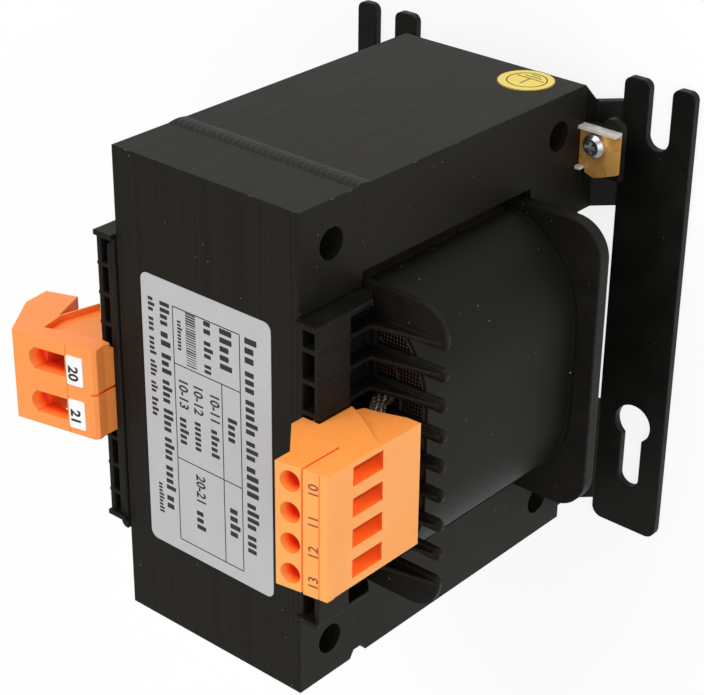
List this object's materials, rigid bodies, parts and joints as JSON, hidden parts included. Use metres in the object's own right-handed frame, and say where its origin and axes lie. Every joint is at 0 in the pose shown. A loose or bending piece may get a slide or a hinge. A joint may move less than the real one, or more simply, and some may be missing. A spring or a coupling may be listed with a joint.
{
  "type": "laminated chassis transformer",
  "caption": "Welded EI-core control transformer on two folded steel feet, with a moulded comb bobbin, orange primary and secondary terminal blocks and an earth terminal.",
  "frame": {"origin": "on the mounting plane, under the middle of the core, midway between the two feet", "axes": "+Z away from the mounting plane, +X along the core towards the end with the earth mark and the open foot slots, +Y through the stack towards the two-pole block"},
  "size_m": [0.1225, 0.1122, 0.129],
  "materials": {
    "lamination_black": "satin black paint over stacked sheet edges",
    "foot_black": "satin black paint",
    "weld_black": "painted weld bead",
    "bobbin_black": "matt black moulding",
    "cover_black": "satin black insulating sheet",
    "copper_winding": "enamelled copper turns",
    "insulation": "insulating paper wrap",
    "terminal_orange": "orange moulding",
    "marker_white": "white tag",
    "steel": "zinc plated",
    "brass": "bare brass",
    "sleeve": "braided sleeve",
    "label_silver": "matt silver foil",
    "sticker_yellow": "printed film"
  },
  "bodies": {
    "root": {"bobbin": "bobbin_black", "coil_cover_far": "cover_black", "coil_cover_near": "cover_black", "contact_tail_10": "brass", "contact_tail_11": "brass", "contact_tail_12": "brass", "contact_tail_13": "brass", "contact_tail_20": "brass", "contact_tail_21": "brass", "core_weld_earth_end": "weld_black", "core_weld_plain_end": "weld_black", "e_lamination_stack": "lamination_black", "earth_bracket": "foot_black", "earth_clamp": "steel", "earth_plate": "brass", "earth_screw": "steel", "earth_sticker": "sticker_yellow", "foot_far": "foot_black", "foot_near": "foot_black", "foot_welds": "weld_black", "four_pole_housing": "terminal_orange", "four_pole_screws": "steel", "i_lamination_stack": "lamination_black", "interwinding_insulation": "insulation", "lead_10": "sleeve", "lead_11": "sleeve", "lead_12": "sleeve", "lead_13": "sleeve", "lead_20": "sleeve", "lead_21": "sleeve", "marker_20": "marker_white", "marker_21": "marker_white", "outer_insulation": "insulation", "primary_winding": "copper_winding", "rating_label": "label_silver", "secondary_winding": "copper_winding", "terminal_clamp_10": "steel", "terminal_clamp_11": "steel", "terminal_clamp_12": "steel", "terminal_clamp_13": "steel", "terminal_clamp_20": "steel", "terminal_clamp_21": "steel", "two_pole_housing": "terminal_orange", "two_pole_screws": "steel"}
  },
  "joints": []
}
